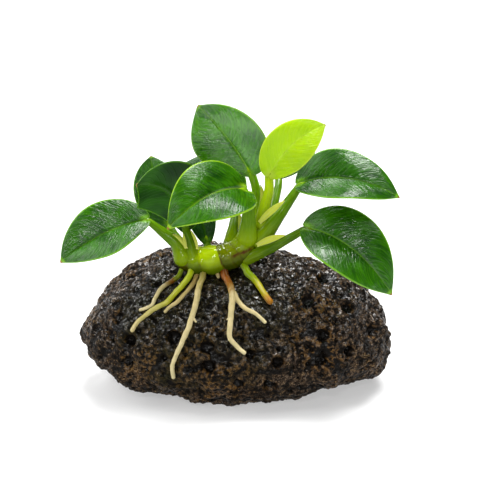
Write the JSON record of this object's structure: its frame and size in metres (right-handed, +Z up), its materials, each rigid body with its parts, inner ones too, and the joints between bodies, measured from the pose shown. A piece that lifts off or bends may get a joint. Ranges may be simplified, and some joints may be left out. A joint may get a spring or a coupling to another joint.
{
  "type": "anubias on stone",
  "caption": "Small broad-leaved aquarium plant whose creeping rhizome holds with pale roots to a dark, porous lava stone that rests on a flat underside.",
  "frame": {"origin": "on the stone's flat underside, straight below the middle of the stone", "axes": "+X along the stone's length, +Z up, and the plant's front faces -Y"},
  "size_m": [0.1149, 0.0789, 0.1028],
  "materials": {
    "stone": "porous lava, wet, black with rusty brown patches",
    "rhizome": "wet yellow-green stem with brown rings",
    "stalk": "wet green",
    "young_stalk": "wet yellow-green",
    "leaf": "glossy dark green with fine veins",
    "young_leaf": "glossy yellow-green with fine veins",
    "sheath": "thin, dry, pale yellow-green",
    "root": "smooth cream, greener near the stem"
  },
  "bodies": {
    "root": {"leaf_back_left": "leaf", "leaf_back_middle": "leaf", "leaf_back_right": "leaf", "leaf_front": "leaf", "leaf_left": "leaf", "leaf_lower_right": "leaf", "leaf_mid_left": "leaf", "leaf_small_inner": "leaf", "leaf_top": "leaf", "leaf_upper_right": "leaf", "leaf_young": "young_leaf", "rhizome": "rhizome", "root_back_left": "root", "root_back_right": "root", "root_far_left": "root", "root_left": "root", "root_long": "root", "root_mid_left": "root", "root_middle": "root", "root_middle_branch": "root", "root_right": "root", "root_stub": "root", "sheath_back_middle": "sheath", "sheath_left": "sheath", "sheath_lower_right": "sheath", "sheath_mid_inner": "sheath", "sheath_mid_left": "sheath", "sheath_top": "sheath", "sheath_upper_right": "sheath", "stalk_back_left": "stalk", "stalk_back_middle": "stalk", "stalk_back_right": "stalk", "stalk_front": "stalk", "stalk_left": "stalk", "stalk_lower_right": "stalk", "stalk_mid_left": "stalk", "stalk_small_inner": "stalk", "stalk_top": "stalk", "stalk_upper_right": "stalk", "stalk_young": "young_stalk", "stone": "stone"}
  },
  "joints": []
}
